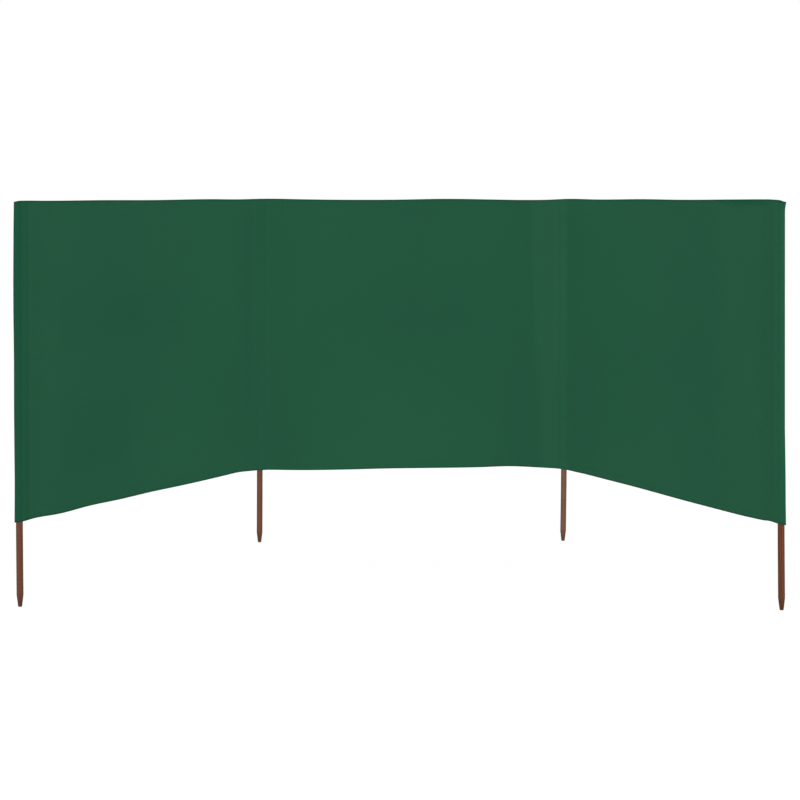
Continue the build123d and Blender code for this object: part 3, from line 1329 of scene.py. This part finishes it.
@dataclass(frozen=True)
class Pocket:
    """The loose flat sleeve at an outer stake, in measures from its axis.

    Attributes:
        post: The stake in it.
        on_right: Whether it is at its panel's right end.
        sway: Heights in millimetres, with how far the fold reaches out or in there.
        reach: How far the fold lies beyond the stake's axis.
        settle: Distance at which the front layer lies back in the panel's plane.
        fold: Radius of the outer fold, at the cloth's middle.
        tones: How much lighter it is painted beyond the stake, and from there to the seam: painted shade
            and light of the doubled cloth.
        turn: Where one tone starts to give way to the other, and over what distance.
    """

    post: Post
    on_right: bool
    sway: Knots
    tones: tuple[float, float]
    reach: float = 22 * MM
    settle: float = 120 * MM
    fold: float = 1.1 * MM
    turn: tuple[float, float] = (-4 * MM, 10 * MM)

    def stand_off(self, q: Array) -> Array:
        """How far the front layer stands off the plane, q from the axis towards the panel."""
        return PASSES * (1 - smooth_step(q / self.settle))

    def lift(self, run: Run) -> Lift:
        """The panel's stand-off at this end."""
        q = np.linspace(0, self.settle * 1.05, 120)
        if self.on_right:
            return Lift((run.length - q)[::-1], self.stand_off(q)[::-1])
        return Lift(q, self.stand_off(q))

    def layers(self) -> tuple[Array, Array]:
        """Both layers, from left to right and back, with q towards the panel and n sheltered."""
        seam = LOOSE_SEAM[0]
        centre = self.reach - FRONT - self.fold
        tangent = math.pi - math.acos((PASSES - self.fold) / centre)
        edge, tip, step = (-centre, 0.0), 0.2, 0.5 * MM
        q = np.linspace(seam, 0, 60)
        rise = np.stack([q, self.stand_off(q)], axis=1)
        top = arc(PASSES, math.pi / 2, tangent)
        bend = arc(self.fold, tangent, math.pi - tip, edge)
        line = np.stack([top[-1], bend[0]])
        front = joined((rise, 15), (top, 6), (line, 8), (bend, 7))
        slope = float(self.stand_off(seam + step) - self.stand_off(seam - step)) / (2 * step)
        depth, lean = BAND_OUTSIDE + FRONT, math.sqrt(1 + slope**2)
        n = float(self.stand_off(seam))
        held = np.array([seam - depth * slope / lean, n + depth / lean])
        away = math.atan2(held[1], held[0]) - math.acos(PASSES / float(np.linalg.norm(held)))
        bend = arc(self.fold, math.pi + tip, math.tau - tangent, edge)
        under = arc(PASSES, math.tau - tangent, math.tau + away)
        line = np.stack([bend[-1], under[0]])
        home = np.stack([under[-1], held])
        back = joined((bend, 7), (line, 8), (under, 10), (home, 11))
        return (front, back) if self.on_right else (front[::-1], back[::-1])

    def tone(self, q: Array) -> Array:
        """How much lighter it is painted, q from the axis towards the panel: painted shade of the doubled
        cloth.
        """
        (beyond, within), (start, width) = self.tones, self.turn
        return beyond + (within - beyond) * smooth_step((q - start) / width)

    def plan(self, run: Run, layer: Array) -> Array:
        """Turns q and n into plan measures about the stake's axis."""
        inwards = -run.along if self.on_right else run.along
        return layer[:, :1] * inwards + layer[:, 1:] * run.sheltered


LEFT_TOP = (
    (-24, 1492.5), (-12, 1494.3), (8, 1497.2), (28, 1497.6), (130, 1497), (430, 1498.4),
    (673, 1498), (1021, 1501), (1206, 1500), (1290, 1501.2), (1333, 1501.9),
)
MIDDLE_TOP = (
    (0, 1501.9), (45, 1502.3), (175, 1500), (306, 1498.1), (567, 1497.8), (829, 1501.6),
    (1025, 1498.7), (1157, 1496.7), (1260, 1497.8), (1333, 1501.2),
)
RIGHT_TOP = (
    (0, 1501.2), (34, 1501.6), (247, 1499.4), (545, 1501.5), (776, 1499.6), (1077, 1501.5),
    (1237, 1502.4), (1294, 1502), (1323, 1499.6), (1343, 1494.8), (1357, 1492.8),
)
LEFT_BOTTOM = (
    (-24, 314), (50, 316), (195, 312.7), (346, 317.5), (504, 317), (668, 320),
    (839, 320), (1110, 323.3), (1204, 324.4), (1301, 318.4), (1333, 317.3),
)
MIDDLE_BOTTOM = (
    (0, 317.3), (60, 316.5), (175, 315.2), (372, 316.2), (569, 320.2), (964, 324.2),
    (1096, 327.8), (1228, 321.6), (1294, 318.6), (1333, 316),
)
RIGHT_BOTTOM = (
    (0, 316), (44, 315), (153, 315.8), (460, 314.9), (651, 313), (834, 310.9), (1007, 310.6),
    (1170, 311.4), (1248, 313.4), (1274, 316.6), (1294, 318), (1320, 317.6), (1357, 315),
)
LEFT_SWAY = (
    (312, 0.3), (400, -1), (460, -1.5), (580, -0.5), (720, 0.5), (900, 0), (1150, 2.2),
    (1300, 0.9), (1430, -1.1), (1495, -2.7),
)
RIGHT_SWAY = (
    (312, 3.6), (400, 1.8), (473, 1.2), (582, -0.8), (727, -4), (980, -4.2), (1160, -6.4),
    (1306, -7.7), (1378, -6), (1450, -4.2), (1475, -0.5), (1495, 5),
)


@dataclass(frozen=True)
class Studio:
    """A pale floor, even light on all three panels and the camera in the photograph's place.

    Attributes:
        ambient: Light from the whole sky, where 1 shows a colour as it is written.
        keys: Azimuth and share of each strip lamp, azimuth 0 from -Y and 90 from +X. The strips
            stand lower than the cloth's top edge, so none shines over one panel onto the next.
        strip: Width and height of a strip lamp.
        away: Its distance from the middle of the windbreak.
        middle: The middle of the windbreak.
        spots: Place, aim, cone in degrees and share of the lamps that reach into the two folds.
        floor_grey: The floor's grey as the object's light sees it.
        floor_seen: Its grey as the camera sees it, which keeps the shadow.
        floor_glow: The light that the camera sees on top, which makes it white.
        eye: The camera's place.
        pan: Its turn to the left, in degrees.
        dip: Its tilt downwards, in degrees.
        lens: Its focal length on a 36 mm sensor.
        shift: Its upright shift.
    """

    ambient: float = 0.6
    keys: Knots = (
        (-80, 0.076), (-50, 0.303), (0, 0.143), (50, 0.297), (80, 0.077), (180, 0.25),
    )
    strip: tuple[float, float] = (8.8, 1.3)
    away: float = 20.0
    middle: Vector = Vector((0.6, -0.3, 0.75))
    spots: tuple[tuple[Vector, Vector, float, float], ...] = (
        (Vector((2.0, -5.0, 0.6)), Vector((0.0, 0, 0.3)), 20, 0.132),
        (Vector((2.0, -5.0, 0.6)), Vector((0.0, 0, 1.3)), 14, 0.127),
        (Vector((-0.8, -5.0, 0.6)), Vector((1.33, 0, 0.3)), 20, 0.152),
        (Vector((-0.8, -5.0, 0.6)), Vector((1.33, 0, 1.3)), 14, 0.162),
    )
    floor_grey: float = 0.8
    floor_seen: float = 0.16
    floor_glow: float = 0.92
    eye: tuple[float, float, float] = (0.4679, -6.8450, 1.5184)
    pan: float = -1.216
    dip: float = 0.915
    lens: float = 70.52
    shift: float = -0.225

    def world(self) -> None:
        """Even white light, seen as plain white behind the object."""
        world = bpy.data.worlds.new("studio")
        world.use_nodes = True
        bpy.context.scene.world = world
        g = Graph(world.node_tree)
        path = g.add("ShaderNodeLightPath")
        seen = path["Is Camera Ray"]
        for label in ("Is Glossy Ray", "Is Transmission Ray"):
            seen = g.math("MAXIMUM", seen, path[label])
        strength = g.add("ShaderNodeMapRange", {"Value": seen, "To Min": self.ambient})[0]
        g.fill(g.tree.nodes["Background"], {"Color": (1, 1, 1, 1), "Strength": strength})

    def floor(self) -> None:
        """A wide pale floor that shows white, but keeps the object's soft shadow."""
        half = 60.0
        corners = np.array([(-half, -half, 0), (half, -half, 0), (half, half, 0), (-half, half, 0)])
        floor = make_object("floor", corners, [[0, 1, 2, 3]])
        g = Surface("pale_floor")
        g.tree.nodes.remove(g.shader)
        matt, thin = (
            g.add("ShaderNodeBsdfDiffuse", {"Color": (grey, grey, grey, 1)})[0]
            for grey in (self.floor_grey, self.floor_seen)
        )
        glow = g.add("ShaderNodeEmission", {"Color": (1, 1, 1, 1), "Strength": self.floor_glow})[0]
        shown = g.add("ShaderNodeAddShader", {0: thin, 1: glow})[0]
        seen = g.add("ShaderNodeLightPath")["Is Camera Ray"]
        mixed = g.add("ShaderNodeMixShader", {0: seen, 1: matt, 2: shown})[0]
        g.fill(g.tree.nodes["Material Output"], {"Surface": mixed})
        floor.data.materials.append(g.material)

    def stand(self, lamp: bpy.types.Light, place: Vector, aim: Vector) -> None:
        """Stands a lamp at a place and turns it to its aim."""
        holder = placed(lamp.name, lamp)
        holder.location = place
        holder.rotation_euler = (aim - place).to_track_quat("-Z", "Y").to_euler()

    def lamps(self) -> None:
        """The strip lamps all round and the spots."""
        for number, (azimuth, share) in enumerate(self.keys):
            turn = math.radians(azimuth)
            lamp = bpy.data.lights.new(f"strip_lamp_{number}", "AREA")
            lamp.shape = "RECTANGLE"
            lamp.size, lamp.size_y = self.strip
            lamp.energy = (math.pi * self.away) ** 2 * share
            place = self.middle + self.away * Vector((math.sin(turn), -math.cos(turn), 0))
            self.stand(lamp, place, self.middle)
        for number, (place, aim, cone, share) in enumerate(self.spots):
            lamp = bpy.data.lights.new(f"fold_spot_{number}", "SPOT")
            lamp.energy = (math.tau * (aim - place).length) ** 2 * share
            lamp.spot_size, lamp.spot_blend = math.radians(cone), 1.0
            lamp.shadow_soft_size = 0.3
            self.stand(lamp, place, aim)

    def camera(self) -> None:
        """The camera, as the photograph was taken."""
        camera = bpy.data.cameras.new("camera")
        camera.sensor_width, camera.lens, camera.shift_y = 36.0, self.lens, self.shift
        camera.clip_end = 300.0
        holder = placed("camera", camera)
        holder.location = self.eye
        holder.rotation_euler = (math.radians(90 - self.dip), 0, math.radians(self.pan))
        bpy.context.scene.camera = holder

    def build(self) -> None:
        """Sets up the whole studio."""
        self.world()
        self.floor()
        self.lamps()
        self.camera()
        bpy.context.scene.view_settings.view_transform = "Standard"


@dataclass
class Windbreak:
    """The whole windbreak, its cloth shaped from one panel into the next.

    Attributes:
        finishes: The finishes of its pieces.
        rows: The stitches, gathered as the pieces are built.
    """

    finishes: Finishes
    rows: SewnRows = field(default_factory=SewnRows)

    def __post_init__(self) -> None:
        """Lays out the runs, the corners, the pockets and the panels."""
        places = [post.plan for post in Post]
        runs = [Run(a, b, lean) for a, b, lean in zip(places, places[1:], (0, 0, 5 * MM))]
        self.corners = (
            # The last numbers are painted shade on the doubled cloth of each inner sleeve
            InnerCorner(Post.INNER_LEFT, runs[0], runs[1], 70 * MM, 70 * MM, -0.03),
            InnerCorner(Post.INNER_RIGHT, runs[1], runs[2], 140 * MM, 60 * MM, 0.0),
        )
        self.pockets = (
            # Their tones are painted shade of the doubled cloth over each outer stake, with a little
            # painted light towards the right seam
            Pocket(Post.OUTER_LEFT, False, LEFT_SWAY, (-0.21, -0.07)),
            Pocket(Post.OUTER_RIGHT, True, RIGHT_SWAY, (-0.07, 0.02)),
        )
        (left_end, middle_start), (middle_end, right_start) = (c.lifts() for c in self.corners)
        self.panels = (
            Panel(
                name="left",
                ends=("outer", "inner"),
                run=runs[0],
                lifts=(self.pockets[0].lift(runs[0]), left_end),
                phase=4.0,
                top=LEFT_TOP,
                bottom=LEFT_BOTTOM,
                waves=((3.2 * MM, 1.9, 2.7, 0.6), (1.6 * MM, 0.83, -1.6, 2.1), (0.8 * MM, 0.41, 1.9, 4.0)),
                shades=(
                    Shade((0.20, 0.20), (0.84, 0.84), 0.95, 1.14, -0.03),
                    Shade((0.20, 0.20), (0.56, 0.56), 0.45, 0.73, -0.035),
                ),
            ),
            Panel(
                name="middle",
                ends=("left", "right"),
                run=runs[1],
                lifts=(middle_start, middle_end),
                phase=6.0,
                top=MIDDLE_TOP,
                bottom=MIDDLE_BOTTOM,
                waves=((2.6 * MM, 1.7, -3.1, 1.9), (1.5 * MM, 0.77, 2.2, 0.2), (0.7 * MM, 0.39, -1.3, 5.0)),
                creases=(Crease(1180 * MM, 1241 * MM, 3 * MM, 45 * MM),),
                # Painted light on the lit side of the fold beside the inner right stake
                shades=(Shade((1.185, 1.245), (1.4, 1.4), 0.2, 1.7, 0.05, soft=30 * MM),),
            ),
            Panel(
                name="right",
                ends=("inner", "outer"),
                run=runs[2],
                lifts=(right_start, self.pockets[1].lift(runs[2])),
                phase=5.0,
                top=RIGHT_TOP,
                bottom=RIGHT_BOTTOM,
                waves=((3.0 * MM, 1.8, 2.3, 3.3), (1.4 * MM, 0.91, -1.9, 0.9), (0.8 * MM, 0.43, 1.7, 2.6)),
                shades=(
                    # Painted shade: a thin fold shadow just right of the inner right stake
                    Shade((0.02, 0.02), (0.055, 0.055), 1.05, 1.4, -0.02, soft=10 * MM),
                    Shade((1.0, 1.0), (1.4, 1.4), 0.2, 1.7, 0.025),
                    # Painted shade under the curled top edge near the outer end
                    Shade((1.01, 1.01), (1.27, 1.27), 1.48, 1.6, -0.1, soft=50 * MM, soft_up=24 * MM),
                ),
                curl=(1060 * MM, 1300 * MM, 4 * MM),
            ),
        )

    def inner_sleeve(self, number: int) -> None:
        """Builds the sleeve across an inner stake, bent from one panel into the next."""
        left, right = self.panels[number], self.panels[number + 1]
        corner = self.corners[number]
        post = corner.post
        front, back = corner.layers(37)
        sides = (front @ left.run.along, front @ right.run.along)
        before = np.arange(len(front)) < len(front) // 2
        lines = [
            np.where(before, left.edge(e, left.run.length + sides[0]), right.edge(e, sides[1]))
            for e in (Edge.TOP, Edge.BOTTOM)
        ]
        sleeve = Sleeve(post, front, back, *lines, ((left, 1), (right, 0)), tone=corner.tone)
        piece = sleeve.mesh().build(f"{post.value}_cover")
        piece.data.materials.append(self.finishes.cloth)
        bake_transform(piece)
        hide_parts(f"{post.value}_sleeve")

    def pocket(self, number: int) -> None:
        """Builds the loose sleeve at an outer stake."""
        pocket, panel = self.pockets[number], self.panels[(0, 2)[number]]
        front, back = pocket.layers()
        q = front[:, 0]
        u = panel.run.length - q if pocket.on_right else q
        lines = [panel.edge(e, u) for e in (Edge.TOP, Edge.BOTTOM)]
        tone = pocket.tone(np.concatenate([q, back[:, 0]]))
        front, back = (pocket.plan(panel.run, layer) for layer in (front, back))
        ends = ((panel, 1), None) if pocket.on_right else (None, (panel, 0))
        outward = panel.run.along if pocket.on_right else -panel.run.along
        look = (pocket.sway, outward, tone, panel.run.lean)
        sleeve = Sleeve(pocket.post, front, back, *lines, ends, *look)
        piece = sleeve.mesh().build(f"{pocket.post.value}_cover")
        dress(piece, self.finishes.cloth, panel.body, f"{pocket.post.value}_sleeve")

    def stakes(self) -> None:
        """Builds the four stakes, each with its head just under the cloth."""
        bodies = ("left_wing", "middle", "middle", "right_wing")
        panels = (*self.panels, self.panels[2])
        places = (0.0, 0.0, 0.0, self.panels[2].run.length)
        fadings = (0.14, 0.18, 0.47, 0.0)
        feet = (1.9 * MM, -1.5 * MM, -3.7 * MM, 2.3 * MM)
        for post, body, panel, u, fade_and_shade, foot in zip(Post, bodies, panels, places, fadings, feet):
            around = u + np.array([-1, 0, 1]) * post.radius
            head = float(panel.edge(Edge.TOP, around).min()) - HEAD_ROOM
            lean = -panel.run.along * panel.run.lean * float(u > 0)
            Stake(post, body, head, lean, fade_and_shade, foot).build(self.finishes)

    def build(self) -> None:
        """Builds every piece."""
        self.stakes()
        for panel in self.panels:
            panel.build(self.finishes, self.rows)
        for number in (0, 1):
            self.inner_sleeve(number)
            self.pocket(number)
        for body, piece in self.rows.build(self.finishes.thread).items():
            dress(piece, self.finishes.thread, body)


def main() -> None:
    """Builds the windbreak piece by piece, then the studio."""
    logging.basicConfig(level=logging.INFO, format="%(name)s %(message)s")
    Windbreak(Finishes.mixed()).build()
    Studio().build()


if __name__ == "__main__":
    main()
